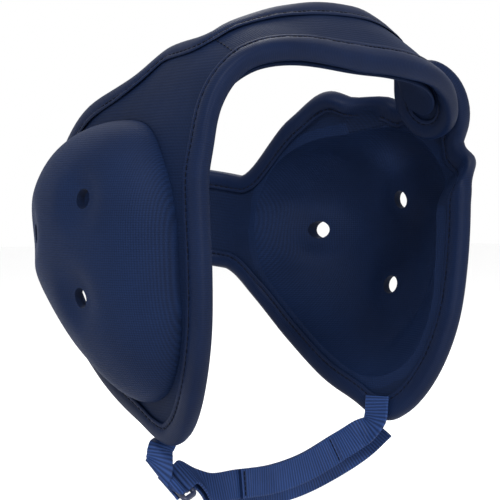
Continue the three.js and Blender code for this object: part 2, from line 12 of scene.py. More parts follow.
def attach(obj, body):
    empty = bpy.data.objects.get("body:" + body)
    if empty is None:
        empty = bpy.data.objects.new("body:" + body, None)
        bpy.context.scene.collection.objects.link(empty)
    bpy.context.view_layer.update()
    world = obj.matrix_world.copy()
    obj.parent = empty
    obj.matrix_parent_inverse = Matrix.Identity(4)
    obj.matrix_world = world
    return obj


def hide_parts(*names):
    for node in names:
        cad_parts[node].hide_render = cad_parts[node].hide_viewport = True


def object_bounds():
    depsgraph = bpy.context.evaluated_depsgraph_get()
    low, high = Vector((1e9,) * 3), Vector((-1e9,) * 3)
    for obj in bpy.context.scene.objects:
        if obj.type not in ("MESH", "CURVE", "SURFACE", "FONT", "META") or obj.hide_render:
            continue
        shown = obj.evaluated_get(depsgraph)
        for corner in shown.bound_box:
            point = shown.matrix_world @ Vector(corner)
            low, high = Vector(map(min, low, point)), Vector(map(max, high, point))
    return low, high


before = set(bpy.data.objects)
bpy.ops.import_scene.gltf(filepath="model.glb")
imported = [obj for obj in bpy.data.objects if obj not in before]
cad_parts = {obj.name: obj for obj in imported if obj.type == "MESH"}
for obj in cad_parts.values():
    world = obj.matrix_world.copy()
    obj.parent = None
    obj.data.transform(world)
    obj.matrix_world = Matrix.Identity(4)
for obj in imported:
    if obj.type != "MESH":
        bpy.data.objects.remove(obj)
cad_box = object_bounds()

MM = 0.001

# Form of the guard's inner face, from the middle between the ears
HALF_BREADTH, FRONT_LENGTH, REAR_LENGTH, RISE, JAW_REACH = 83, 150, 112, 109, 160
SQUARENESS = 3
FRONT_FLARE, REAR_FLARE, TOP_FLARE = 0.0022, 0.0018, 0.0008

# Padded sheet and its arms
PAD = 6.0
PANEL = 150.0
BAND_LEAN = math.radians(36)
BAND_WIDTH = 50.0
BAND_BANK = math.radians(40)
REAR_RISE = math.radians(10)
REAR_ARM_WIDTH = 56.0
LONG_TOP, SHORT_TOP, LONG_REAR, SHORT_REAR = 238.0, 107.0, 213.0, 152.0
LONG_TOP_ROOT, SHORT_TOP_ROOT, REAR_ROOT, ROOT_REACH = 118.0, 84.0, 86.0, 2.0

# Degrees from the ear over which the inner face rises, and over which the band is banked
LONG_TOP_RISE, SHORT_TOP_RISE, SHORT_REAR_RISE = (48, 70), (26, 44), (34, 56)
BANK_START, BANK_STOP = (60, 95), (100, 132)
# Shares of BAND_WIDTH from the band's middle over which the short arm's rise fades
BESIDE = (0.45, 0.8)
# Soft unevenness: waves in a millimetre, height and a shift of its pattern
PAD_WAVES = [(0.035, 0.5, 3.1), (0.11, 0.16, 8.3)]
TAPE_WAVE, CUP_WAVE = (0.05, 1.0, 5.0), (0.03, 0.8, 11.0)

# Folded tape
TAPE, TAPE_WIDTH, TAPE_ROUND, FOLD_GAP, ARM_GAP = 1.3, 10.0, 3.5, 0.95, 1.4
TAPE_PROUD = FOLD_GAP + TAPE
LAYER_PITCH = PAD + 2 * TAPE_PROUD + ARM_GAP
STITCH_INSET, STITCH_PITCH, STITCH_LENGTH, STITCH_RADIUS = 7.9, 3.4, 2.4, 0.34
STITCH_SEAT, GATHER, GATHER_REACH, SWELL = 0.55, 0.35, 1.1, 0.35
# Shares of a stitch's length in its straight part and in each end, and of its radius that an end loses
STITCH_SIDES, STITCH_BODY, STITCH_END, END_INSET = 6, 0.72, 0.14, 0.45

# Ear cup
CUP_HEIGHT, CUP_WIDTH, CUP_DEPTH, CUP_WALL, VENT = 146.0, 150.0, 35.0, 4.5, 10.5
CUP_PEAK_UP, CUP_PEAK_FRONT = 0.05, -0.1
CUP_FLATNESS, CUP_FULLNESS = 2.6, 0.52
LINING_FLATNESS, LINING_FULLNESS = 3.0, 0.8
CUP_SINK, HOLE_LAP, LINING_INSET, DRILL_REACH = 0.4, 0.6, 1.5, 2.4
# Share of the dome over which dents fade at its rim, and how its rings crowd there
CUP_FADE, LINING_FADE, CUP_CROWDING, LINING_CROWDING = 0.25, 0.12, 1.6, 1.4
# How far the lining's lip reaches past the cup, and its heights over the sheet's inner face
LINING_LIP = [(3.5, 1.2), (7.0, 0.9), (7.2, 0.4), (5.0, 0.0), (3.0, -0.25), (0.8, -0.35)]
DIMPLE_REACH, DIMPLE = 9.5, 4.6
DENT_REACH, DENT, CREASE_REACH, CREASE = 9.0, 3.2, 3.2, 2.2

# Strip of padding under the band
STRIP_THICKNESS, STRIP_WIDTH, STRIP_FROM, STRIP_END, STRIP_GAP = 4.5, 28.0, 84.0, 14.0, 1.4
BAND_SEAMS = (116, 201)
STRIP_TOP = -(TAPE_PROUD + STRIP_GAP)
BAND_LIFT = STRIP_THICKNESS - STRIP_TOP

# Webbing and ring
WEB, WEB_THICK, STRAP_SPAN = 16.0, 1.6, 170.0
PATCH_GAP, LAYER_GAP, SEAT_GAP = 0.35, 0.9, 0.3
RIB_PITCH, RIB_HEIGHT, RIB_WAIST, SELVEDGE, SECTION_POWER = 1.8, 0.24, 0.006, 0.12, 0.35
# Shares of half the width where the ribs end, over which they fade, and where the selvedge starts
RIB_STOP, RIB_FADE, SELVEDGE_FROM = 0.93, 0.12, 0.86
SEAM_DENT, SEAM_REACH, SEAM_INSET, SEAM_MARGIN = 0.3, 0.8, 2.5, 1.25
PATCH_THICK, PATCH_STITCHES, PATCH_STITCH_RISE = 1.5, 5, 0.85
RING_BAR, RING_OPENING, RING_SLACK, RING_CORNER = 3.0, 5.0, 1.2, 1.6
STRAP_LEAD, KEEPER_LEAD, RING_HOLD = 4.0, 1.5, (8, 26)

# Shares of PANEL up from the ear point and in front of it
PANEL_FRONT = [(-0.615, 0.345), (-0.550, 0.410), (-0.430, 0.480), (-0.260, 0.535), (-0.050, 0.558),
               (0.160, 0.560), (0.270, 0.556), (0.360, 0.565), (0.490, 0.570)]
PANEL_CROOK = [(0.655, 0.135), (0.590, -0.010), (0.510, -0.230)]
PANEL_REAR = [(-0.192, -0.436), (-0.371, -0.254), (-0.519, -0.054), (-0.592, 0.103), (-0.635, 0.190),
              (-0.650, 0.270)]
# Shares of CUP_HEIGHT up from the ear point and of CUP_WIDTH in front of it
CUP_OUTLINE = [(-0.520, 0.150), (-0.490, 0.285), (-0.410, 0.370), (-0.240, 0.432), (-0.020, 0.442),
               (0.190, 0.425), (0.340, 0.350), (0.435, 0.240), (0.465, 0.080), (0.440, -0.160),
               (0.340, -0.340), (0.140, -0.440), (-0.080, -0.400), (-0.280, -0.230), (-0.440, -0.030)]
VENTS = [(0.195, 0.113), (-0.150, 0.073), (0.070, -0.265)]
# Soft dents and a crease in the cup's inner face, in the same shares
DENTS = [(0.385, -0.150), (0.355, 0.135), (0.190, -0.360), (0.215, 0.345), (-0.040, -0.330)]
CREASE_LINE = [(0.260, 0.375), (0.120, 0.352), (-0.006, 0.322), (-0.140, 0.270), (-0.264, 0.213),
               (-0.370, 0.138)]
# Shares of STRAP_SPAN to the left, to the front and up, and degrees of turn of the webbing's width
STRAP_UPPER = [(-0.290, 0.190, -0.729, 30), (-0.165, 0.182, -0.735, 8), (-0.012, 0.171, -0.735, 0),
               (0.129, 0.171, -0.712, 4), (0.276, 0.171, -0.665, 20), (0.371, 0.176, -0.629, 40)]
STRAP_LOWER = [(-0.270, 0.168, -0.748, 26), (-0.130, 0.159, -0.772, 8), (-0.010, 0.148, -0.778, 0),
               (0.125, 0.148, -0.765, 4), (0.271, 0.152, -0.724, 20), (0.405, 0.165, -0.668, 44),
               (0.494, 0.175, -0.612, 60)]
PATCH_FIRST, PATCH_LAST = 1, 4
RING_PLACE, RING_ALONG, RING_ACROSS = (-0.4065, 0.168, -0.702), (0.35, 0.6, -0.72), (0.863, -0.253, 0.437)
STRAP_FOOT = [(-0.670, 0.240), (-0.570, 0.235)]
KEEPER_FOOT = [(-0.560, 0.150), (-0.640, 0.155)]
# Shares of STRAP_SPAN of the keeper's two edges, where it comes down and folds over itself to the ring
KEEPER_FOLD = [((-0.4793, 0.1183, -0.5919), (-0.4225, 0.1701, -0.6073)),
               ((-0.4912, 0.1282, -0.6114), (-0.4336, 0.1810, -0.6389)),
               ((-0.4939, 0.1340, -0.6228), (-0.4440, 0.1815, -0.6932)),
               ((-0.4926, 0.1275, -0.6298), (-0.4451, 0.1732, -0.7125)),
               ((-0.4818, 0.1311, -0.6366), (-0.4354, 0.1759, -0.7224))]

# Steps of the fine surfaces
RUN_STEPS, TIP_STEPS, ARM_STEP, ARM_CELLS, PAD_RINGS = 12, 14, 3.0, 36, 26
CUP_AROUND, CUP_RINGS, CUP_INNER_RINGS = 180, 40, 34
WEB_STEP, WEB_CELLS, STRIP_STEPS, STRIP_AROUND, CURVE_STEPS, HOLE_STEPS = 0.42, 10, 120, 28, 60, 1440

ARM_RADIUS = (HALF_BREADTH + REAR_LENGTH + RISE) / 3


# Vectors of length one
def unit(v):
    v = np.asarray(v, float)
    return v / np.linalg.norm(v, axis=-1, keepdims=True)


# Soft step from 0 at low to 1 at high
def smoothstep(x, low, high):
    t = np.clip((np.asarray(x, float) - low) / (high - low), 0, 1)
    return t * t * (3 - 2 * t)


# Point of the unflared form in each direction, and the form's axes there
def form_point(d):
    axes = np.stack([np.full(d.shape[:-1], float(HALF_BREADTH)),
                     np.where(d[..., 1] < 0, FRONT_LENGTH, REAR_LENGTH),
                     np.where(d[..., 2] > 0, RISE, JAW_REACH)], -1)
    size = (np.abs(d / axes) ** SQUARENESS).sum(-1) ** (-1 / SQUARENESS)
    return d * size[..., None], axes


BAND_TOP = np.array([0, -math.sin(BAND_LEAN), math.cos(BAND_LEAN)])
MIDDLE = -form_point(BAND_TOP)[0]


# One half of the guard, with its ear on the side -1 (right) or 1 (left)
class Half:
    def __init__(self, side, long_arms):
        self.side, self.long_arms = side, long_arms
        self.ear = np.array([side, 0.0, 0.0])
        self.up, self.front = np.array([0, 0, 1.0]), np.array([0, -1.0, 0])
        self.top_way = BAND_TOP
        self.rear_way = np.array([0, math.cos(REAR_RISE), math.sin(REAR_RISE)])

    # Direction across an arm that runs from the ear in a direction
    def across(self, way):
        return np.cross(self.ear, way) * self.side

    # Degrees that directions lie from the ear towards an arm
    def way_angle(self, way, d):
        return np.degrees(np.arctan2(d @ way, d @ self.ear))

    # Height of the inner face over the form, where arms lie over each other and the band is banked
    def lift(self, d):
        top, rear = self.way_angle(self.top_way, d), self.way_angle(self.rear_way, d)
        across = d @ self.across(self.top_way) * ARM_RADIUS
        bank = -math.tan(BAND_BANK) * across * smoothstep(top, *BANK_START)
        bank = bank * (1 - smoothstep(top, *BANK_STOP))
        if self.long_arms:
            return bank + BAND_LIFT * smoothstep(top, *LONG_TOP_RISE)
        beside = 1 - smoothstep(np.abs(across), BESIDE[0] * BAND_WIDTH, BESIDE[1] * BAND_WIDTH)
        over_top = (BAND_LIFT + LAYER_PITCH) * smoothstep(top, *SHORT_TOP_RISE) * beside
        return bank + np.maximum(over_top, LAYER_PITCH * smoothstep(rear, *SHORT_REAR_RISE))

    # Point of the flared form in a direction, at a height over the inner face
    def surface(self, d, height):
        d = unit(d)
        p, axes = form_point(d)
        slope = np.sign(p) * np.abs(p / axes) ** (SQUARENESS - 1) / axes
        front = np.where(p[..., 1] < 0, FRONT_FLARE, REAR_FLARE)
        flare = (1 - front * p[..., 1]) * (1 + TOP_FLARE * p[..., 2])
        x = slope[..., 0] / flare
        lean = x * p[..., 0]
        normal = unit(np.stack([x, slope[..., 1] + lean * front * (1 + TOP_FLARE * p[..., 2]),
                                slope[..., 2] - lean * TOP_FLARE * (1 - front * p[..., 1])], -1))
        p[..., 0] *= flare
        return p + MIDDLE + normal * (self.lift(d) + np.asarray(height, float))[..., None]

    # Direction of a place so far up and to the front of the ear point
    def pattern_way(self, up, front):
        up, front = np.asarray(up, float), np.asarray(front, float)
        rear = np.where(-front < 0, FRONT_LENGTH, REAR_LENGTH)
        rise = np.where(up > 0, RISE, JAW_REACH)
        rest = 1 - np.abs(front / rear) ** SQUARENESS - np.abs(up / rise) ** SQUARENESS
        x = self.side * HALF_BREADTH * rest ** (1 / SQUARENESS)
        return unit(np.stack([x, -front, up], -1))

    # Direction of a place so far along an arm and across it
    def arm_way(self, way, along, across):
        angle = along / ARM_RADIUS
        centre = self.ear * math.cos(angle) + way * math.sin(angle)
        turn = across / np.linalg.norm(form_point(centre)[0])
        return centre * math.cos(turn) + self.across(way) * math.sin(turn)


RIGHT, LEFT = Half(-1, True), Half(1, False)


# Centripetal curve through points, with the same count of places between each two
def curve_points(points, count, closed=False):
    points = np.asarray(points, float)
    if closed:
        ext = np.vstack([points[-1:], points, points[:2]])
    else:
        ext = np.vstack([2 * points[0] - points[1], points, 2 * points[-1] - points[-2]])
    out = []
    for i in range(len(ext) - 3):
        p0, p1, p2, p3 = ext[i:i + 4]
        d0, d1, d2 = (max(np.sum((b - a) ** 2) ** 0.25, 1e-4) for a, b in ((p0, p1), (p1, p2), (p2, p3)))
        t1 = ((p1 - p0) / d0 - (p2 - p0) / (d0 + d1) + (p2 - p1) / d1) * d1
        t2 = ((p2 - p1) / d1 - (p3 - p1) / (d1 + d2) + (p3 - p2) / d2) * d1
        t = np.linspace(0, 1, count, endpoint=False)[:, None]
        out.append(p1 + t1 * t + (3 * (p2 - p1) - 2 * t1 - t2) * t ** 2 + (2 * (p1 - p2) + t1 + t2) * t ** 3)
    curve = np.vstack(out)
    return curve if closed else np.vstack([curve, points[-1:]])


# Directions of an arm's two edges from its root to its rounded tip, and of the tip
def arm_edges(half, way, length, root, width):
    reach = length - width / 2
    spans = max(1, round((reach - root) / ARM_STEP))
    rungs = [(root + (reach - root) * s / spans, width / 2) for s in range(spans)]
    for step in range(TIP_STEPS):
        angle = step / TIP_STEPS * math.pi / 2
        rungs.append((reach + math.sin(angle) * width / 2, math.cos(angle) * width / 2))
    high = [half.arm_way(way, a, w) for a, w in rungs]
    low = [half.arm_way(way, a, -w) for a, w in rungs]
    return np.array(high), np.array(low), half.arm_way(way, length, 0)


# Outline of a half: its directions, and where its two arms start in it
def half_outline(half):
    across = BAND_WIDTH * math.cos(BAND_BANK)
    if half.long_arms:
        root, top_length, rear_length = LONG_TOP_ROOT, LONG_TOP, LONG_REAR
    else:
        root, top_length, rear_length = SHORT_TOP_ROOT, SHORT_TOP, SHORT_REAR
    top = arm_edges(half, half.top_way, top_length, root, across)
    rear = arm_edges(half, half.rear_way, rear_length, REAR_ROOT, REAR_ARM_WIDTH)
    limit = math.degrees(root / ARM_RADIUS) + ROOT_REACH

    # Curve through the panel's places from one arm's edge to the next arm's
    def run(rows, before, after):
        places = [half.pattern_way(up * PANEL, front * PANEL) for up, front in rows]
        places = [p for p in places if half.way_angle(half.top_way, p) < limit]
        lead = [before[4], before[0]]
        curve = curve_points([*lead, *places, after[0], after[4]], RUN_STEPS)
        return unit(curve[RUN_STEPS + 1:-RUN_STEPS - 1])

    lower = run(PANEL_REAR + PANEL_FRONT, rear[1], top[0])
    crook = run(PANEL_CROOK, top[1], rear[0])
    around = [np.vstack([arm[0], arm[2][None], arm[1][::-1]]) for arm in (top, rear)]
    ways = np.vstack([lower, around[0], crook, around[1]])
    return ways, [(len(lower), len(top[0])), (len(lower) + len(around[0]) + len(crook), len(rear[0]))]


# Directions moved inwards from a loop of directions
def inset(half, ways, distance):
    inward = unit(np.cross(ways, np.roll(ways, -1, 0) - np.roll(ways, 1, 0)))
    size = np.linalg.norm(form_point(ways)[0], axis=1)
    return unit(ways - inward * (half.side * np.asarray(distance) / size)[:, None])


# Distance of each point along its line from the first
def distances(points):
    return np.concatenate([[0], np.cumsum(np.linalg.norm(np.diff(points, axis=0), axis=1))])


# Points of a line at places along it
def sample(points, at, places):
    return np.stack([np.interp(places, at, points[:, k]) for k in range(3)], -1)


# Evenly spaced directions round the cup's outline, grown by a distance
def cup_loop(half, grow, count):
    up, front = np.array(CUP_OUTLINE).T * [[CUP_HEIGHT], [CUP_WIDTH]]
    scale = 1 + grow / np.hypot(up, front)
    curve = curve_points(half.pattern_way(up * scale, front * scale), CURVE_STEPS, closed=True)
    loop = np.vstack([curve, curve[:1]])
    at = distances(loop)
    return unit(sample(loop, at, np.linspace(0, at[-1], count, endpoint=False)))


# Angle of directions round the ear
def bearing(half, d):
    return np.arctan2(d @ half.front, -(d @ half.up))


# Directions part of the way between two sets of directions, round the ear
def between(half, start, end, share):
    a, b = bearing(half, start), bearing(half, end)
    turn = a + share * np.arctan2(np.sin(b - a), np.cos(b - a))
    reach = np.arccos(np.clip(start @ half.ear, -1, 1)) * (1 - share)
    reach = reach + np.arccos(np.clip(end @ half.ear, -1, 1)) * share
    return (np.cos(reach)[:, None] * half.ear + (np.sin(reach) * np.sin(turn))[:, None] * half.front
            - (np.sin(reach) * np.cos(turn))[:, None] * half.up)


# Adds a grid to a bmesh and moves it to places given row by row, with a UV in millimetres
def add_grid(bm, places, uvs):
    rows, columns = places.shape[:2]
    layer = bm.loops.layers.uv.verify()
    made = bmesh.ops.create_grid(bm, x_segments=columns - 1, y_segments=rows - 1, size=1)["verts"]
    for vert, place in zip(made, places.reshape(-1, 3) * MM):
        vert.co = place
    flat = uvs.reshape(-1, 2)
    bm.verts.index_update()
    first = made[0].index
    for face in {face for vert in made for face in vert.link_faces}:
        for loop in face.loops:
            loop[layer].uv = flat[loop.vert.index - first]


# UV in millimetres along a grid's rows and columns
def rows_uv(places):
    along = np.linalg.norm(np.diff(places, axis=0), axis=2).mean(1)
    across = np.linalg.norm(np.diff(places, axis=1), axis=2).mean(0)
    u = np.concatenate([[0], np.cumsum(along)])
    v = np.concatenate([[0], np.cumsum(across)])
    return np.stack(np.meshgrid(u, v, indexing="ij"), -1)


# Welds a bmesh and makes it a smooth shaded object
def finish_mesh(bm, name, material, weld=0.02, crease=40):
    bmesh.ops.remove_doubles(bm, verts=bm.verts, dist=weld * MM)
    bmesh.ops.dissolve_degenerate(bm, edges=bm.edges, dist=1e-7)
    bmesh.ops.recalc_face_normals(bm, faces=bm.faces)
    mesh = bpy.data.meshes.new(name)
    bm.to_mesh(mesh)
    bm.free()
    piece = bpy.data.objects.new(name, mesh)
    bpy.context.scene.collection.objects.link(piece)
    mesh.materials.append(material)
    mesh.shade_smooth()
    mesh.set_sharp_from_angle(angle=math.radians(crease))
    return piece


# Attaches a piece to the root body and hides the CAD nodes it stands for
def settle(piece, slot, *nodes):
    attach(piece, "root")
    if nodes:
        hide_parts(*nodes)


# Applies a piece's modifiers to its mesh
def apply_modifiers(piece, crease=40):
    depsgraph = bpy.context.evaluated_depsgraph_get()
    mesh = bpy.data.meshes.new_from_object(piece.evaluated_get(depsgraph))
    piece.modifiers.clear()
    piece.data = mesh
    mesh.shade_smooth()
    mesh.set_sharp_from_angle(angle=math.radians(crease))


# Soft random heights at points
def ripple(points, scale, size, seed):
    heights = np.array([noise.noise(Vector(p * scale + seed)) for p in points.reshape(-1, 3)])
    return heights.reshape(points.shape[:-1]) * size


# Padded sheet of a half: a ring of cells round the cup and a ladder of cells along each arm
def side_pad(half, name, material):
    ways, arms = half_outline(half)
    edge = inset(half, ways, TAPE_ROUND + FOLD_GAP)
    hole = cup_loop(half, -HOLE_LAP, HOLE_STEPS)
    hole_bearing = bearing(half, hole)
    bm = bmesh.new()
    body, done = [], 0
    for start, rungs in arms:
        end = start + 2 * rungs
        share = np.linspace(0, 1, ARM_CELLS + 1)[:, None]
        ladder = np.array([unit(edge[start + r] * (1 - share) + edge[end - r] * share) for r in range(rungs)])
        cap = np.repeat(edge[start + rungs][None, None], ARM_CELLS + 1, 1)
        grid = np.concatenate([ladder, cap])
        flat = half.surface(grid, 0.0)
        add_grid(bm, pad_places(half, grid, flat), rows_uv(flat))
        body.append(edge[done:start])
        body.append(ladder[0])
        done = end + 1
    body.append(edge[done:])
    outer = np.vstack(body)
    outer = np.vstack([outer, outer[:1]])
    miss = np.abs(np.angle(np.exp(1j * (bearing(half, outer)[:, None] - hole_bearing[None]))))
    inner = hole[miss.argmin(1)]
    grid = np.stack([between(half, outer, inner, s) for s in np.linspace(0, 1, PAD_RINGS + 1)], 1)
    flat = half.surface(grid, 0.0)
    add_grid(bm, pad_places(half, grid, flat), flat[..., 1:])
    piece = finish_mesh(bm, name, material)
    wall = piece.modifiers.new("wall", "SOLIDIFY")
    wall.thickness = PAD * MM
    wall.offset = 0
    wall.use_even_offset = True
    return piece


# Middle surface of the pad, softly uneven as foam under jersey is
def pad_places(half, grid, flat):
    return half.surface(grid, sum((ripple(flat, *wave) for wave in PAD_WAVES), PAD / 2))


# Folded tape round a half: a hooked section along the outline, gathered a little at its stitches
def edge_binding(half, name, material):
    ways, _ = half_outline(half)
    flat = half.surface(ways, PAD / 2)
    along = distances(flat)
    slot, outside = PAD / 2 + FOLD_GAP, PAD / 2 + TAPE_PROUD
    # Distance in from the outline and height from the sheet's middle, from the tape's edge to its fold
    section = [(TAPE_WIDTH, slot + 0.15), (TAPE_WIDTH - 0.25, slot + 0.62), (9.0, slot + 0.85),
               (8.4, slot + 0.8), (STITCH_INSET, slot + STITCH_SEAT), (7.3, slot + 0.82), (6.4, slot + 1.15),
               (5.2, outside), (3.9, outside - 0.02)]
    turn = np.linspace(90, 0, 7)[1:]
    section += [(3.0 - 3.0 * math.cos(math.radians(t)), (outside - 0.05) * math.sin(math.radians(t)) ** 0.8)
                for t in turn]
    section += [(x, -y) for x, y in section[-2::-1]]
    section += [(TAPE_ROUND, -slot), (TAPE_ROUND, slot)]
    rings = []
    gather = 0.5 + 0.5 * np.cos(2 * np.pi * along / STITCH_PITCH)
    slow = ripple(flat, *TAPE_WAVE)
    for distance, height in section:
        at = inset(half, ways, distance)
        near = np.exp(-((distance - STITCH_INSET) / GATHER_REACH) ** 2)
        near = near * (GATHER if abs(height) > slot + 0.3 else 0)
        swell = SWELL * slow * (abs(height) > slot)
        rings.append(half.surface(at, PAD / 2 + height + np.sign(height) * (swell - near * gather)))
    rings.append(rings[0])
    places = np.stack(rings, 1)
    places = np.concatenate([places, places[:1]])
    bm = bmesh.new()
    add_grid(bm, places, rows_uv(places))
    return finish_mesh(bm, name, material, weld=0.005, crease=60)


# Small rounded threads laid along places, each with a way along and a way out
def threads(name, rows, material):
    template = bmesh.new()
    bmesh.ops.create_cone(template, cap_ends=True, segments=STITCH_SIDES, radius1=STITCH_RADIUS * MM,
                          radius2=STITCH_RADIUS * MM, depth=STITCH_LENGTH * MM * STITCH_BODY)
    caps = [face for face in template.faces if len(face.verts) == STITCH_SIDES]
    for face in caps:
        out = face.calc_center_median().normalized() * STITCH_LENGTH * MM * STITCH_END
        bmesh.ops.inset_individual(template, faces=[face], thickness=STITCH_RADIUS * MM * END_INSET)
        bmesh.ops.translate(template, verts=face.verts, vec=out)
    mesh = bpy.data.meshes.new("thread")
    template.to_mesh(mesh)
    template.free()
    bm = bmesh.new()
    for place, along, out in rows:
        count = len(bm.verts)
        bm.from_mesh(mesh)
        bm.verts.ensure_lookup_table()
        side = np.cross(out, along)
        turn = Matrix((side, out, along)).transposed().to_4x4()
        bmesh.ops.transform(bm, matrix=Matrix.Translation(Vector(place * MM)) @ turn, verts=bm.verts[count:])
    bpy.data.meshes.remove(mesh)
    return finish_mesh(bm, name, material, weld=0.0001, crease=80)


# Rows of stitches on both faces of a half's tape
def tape_stitches(half, name, material):
    ways, _ = half_outline(half)
    line = inset(half, ways, STITCH_INSET)
    line = np.vstack([line, line[:1]])
    rows = []
    for side in (1, -1):
        height = PAD / 2 + side * (PAD / 2 + FOLD_GAP + STITCH_SEAT)
        path, above = half.surface(line, height), half.surface(line, height + side)
        at = distances(path)
        count = int(at[-1] / STITCH_PITCH)
        places = (np.arange(count) + 0.5) * at[-1] / count
        middle = sample(path, at, places)
        along = unit(sample(path, at, places + 0.8) - sample(path, at, places - 0.8))
        out = unit(sample(above, at, places) - middle)
        out = unit(out - along * (out * along).sum(1)[:, None])
        rows += list(zip(middle, along, out))
    return threads(name, rows, material)


# Stitched seam across the band, on its outer face
def band_seam(name, places, material):
    rows = []
    for along in places:
        half_width = BAND_WIDTH * math.cos(BAND_BANK) / 2 - TAPE_WIDTH
        count = int(2 * half_width / STITCH_PITCH)
        for step in range(count):
            across = -half_width + (step + 0.5) * 2 * half_width / count
            d = np.array([RIGHT.arm_way(RIGHT.top_way, along, a) for a in (across - 1, across, across + 1)])
            path, above = RIGHT.surface(d, PAD + 0.1), RIGHT.surface(d, PAD + 1.1)
            way = unit(path[2] - path[0])
            out = unit(above[1] - path[1])
            rows.append((path[1], way, unit(out - way * (out @ way))))
    return threads(name, rows, material)


# Distance of places from a line through points, seen from the side
def side_distance(places, points):
    best = np.full(places.shape[:-1], 1e9)
    for start, end in zip(points[:-1], points[1:]):
        way = end - start
        t = np.clip(((places[..., 1:] - start) @ way) / (way @ way), 0, 1)
        best = np.minimum(best, np.linalg.norm(places[..., 1:] - start - t[..., None] * way, axis=-1))
    return best


# Ear cup: a hollow dome with soft dimples at its vents, whose lining laps over the padded sheet
def ear_cup(half, name, material):
    rim = cup_loop(half, 0.0, CUP_AROUND)
    inside = cup_loop(half, -LINING_INSET, CUP_AROUND)
    peak = half.pattern_way(CUP_PEAK_UP * CUP_HEIGHT, CUP_PEAK_FRONT * CUP_WIDTH)

    # Points on the sheet's outer face for places on the cup
    def spots(table):
        ways = [half.pattern_way(up * CUP_HEIGHT, front * CUP_WIDTH) for up, front in table]
        return [half.surface(way, PAD) for way in ways]

    vents, dents = spots(VENTS), spots(DENTS)
    crease_line = np.array(spots(CREASE_LINE))[:, 1:]

    # Loop at a share of the way from the dome's peak to its edge, and how far the vents' dimples push it
    def ring(edge, share, base, height, flatness, fullness):
        way = unit(peak * (1 - share) + edge * share)
        dome = (1 - share ** flatness) ** fullness
        place = half.surface(way, base) + half.ear * height * dome
        push = ripple(place, *CUP_WAVE) * dome
        for vent in vents:
            away = np.hypot(place[:, 1] - vent[1], place[:, 2] - vent[2])
            push = push - DIMPLE * np.exp(-np.maximum(away - VENT / 2, 0) ** 2 / DIMPLE_REACH ** 2)
        return place, push

    # Loop of the cup's outer face
    def outer(share):
        place, push = ring(rim, share, PAD - CUP_SINK, CUP_DEPTH + CUP_SINK, CUP_FLATNESS, CUP_FULLNESS)
        return place + half.ear * (push * smoothstep(1 - share, 0, CUP_FADE))[:, None]

    # Loop of the cup's inner face, with its dents and crease
    def lining(share):
        depth = CUP_DEPTH + PAD - CUP_WALL + CUP_SINK
        place, push = ring(inside, share, -CUP_SINK, depth, LINING_FLATNESS, LINING_FULLNESS)
        for dent in dents:
            away = np.hypot(place[:, 1] - dent[1], place[:, 2] - dent[2])
            push = push + DENT * np.exp(-(away / DENT_REACH) ** 2)
        push = push + CREASE * np.exp(-(side_distance(place, crease_line) / CREASE_REACH) ** 2)
        return place + half.ear * (push * smoothstep(1 - share, 0, LINING_FADE))[:, None]

    rings = [outer(s) for s in (1 - np.linspace(0, 1, CUP_RINGS) ** CUP_CROWDING)[::-1]]
    rings += [half.surface(rim, PAD * 0.75), half.surface(rim, PAD * 0.4)]
    rings += [half.surface(cup_loop(half, grow, CUP_AROUND), height) for grow, height in LINING_LIP]
    rings += [lining(s) for s in 1 - np.linspace(0, 1, CUP_INNER_RINGS) ** LINING_CROWDING]
    places = np.stack(rings)
    places = np.concatenate([places, places[:, :1]], 1)
    bm = bmesh.new()
    add_grid(bm, places, places[..., 1:])
    piece = finish_mesh(bm, name, material)
    drill = bmesh.new()
    for vent in vents:
        turn = Matrix.Rotation(math.pi / 2, 4, "Y")
        place = Matrix.Translation(Vector(vent * MM) + Vector(half.ear) * CUP_DEPTH * MM)
        bmesh.ops.create_cone(drill, cap_ends=True, segments=40, radius1=VENT / 2 * MM, radius2=VENT / 2 * MM,
                              depth=DRILL_REACH * (CUP_DEPTH + PAD) * MM, matrix=place @ turn)
    cutter = finish_mesh(drill, f"{name}_vent_drill", material, weld=0.0001)
    cut = piece.modifiers.new("vents", "BOOLEAN")
    cut.operation = "DIFFERENCE"
    cut.solver = "EXACT"
    cut.object = cutter
    apply_modifiers(piece)
    bpy.data.objects.remove(cutter)
    return piece


# Strip of padding under the band, with a rounded section and rounded ends
def band_pad(name, material):
    rows = []
    for s in np.linspace(0, 1, STRIP_STEPS + 1):
        along = STRIP_FROM + s * (LONG_TOP - STRIP_END - STRIP_FROM)
        end = max(0.02, (1 - abs(2 * s - 1) ** 8)) ** 0.5
        ring = []
        for t in np.linspace(0, 2 * math.pi, STRIP_AROUND + 1):
            across = np.sign(math.cos(t)) * abs(math.cos(t)) ** 0.7 * STRIP_WIDTH / 2 * end
            rise = np.sign(math.sin(t)) * abs(math.sin(t)) ** 0.8 * STRIP_THICKNESS / 2 * (0.55 + 0.45 * end)
            height = STRIP_TOP - STRIP_THICKNESS / 2 + rise
            ring.append((RIGHT.arm_way(RIGHT.top_way, along, across), height))
        ways, heights = np.array([r[0] for r in ring]), np.array([r[1] for r in ring])
        rows.append(RIGHT.surface(ways, heights))
    places = np.stack(rows)
    for end in (0, -1):
        places[end] = places[end].mean(0)
    bm = bmesh.new()
    add_grid(bm, places, rows_uv(places))
    piece = finish_mesh(bm, name, material)
    return piece


# Vector to the left, to the front and up, in shares of a size
def share_vector(row, size):
    return np.array([row[0], -row[1], row[2]]) * size


# Direction of the webbing's width, turned from upright towards the face
def width_way(turn):
    angle = math.radians(turn)
    return np.array([0, 0, -math.cos(angle)]) + unit([0.5, -0.85, 0]) * math.sin(angle)


# Rows of webbing: places and directions of its width
def strap_rows(table):
    return [(share_vector(row, STRAP_SPAN) + MIDDLE, width_way(row[3])) for row in table]


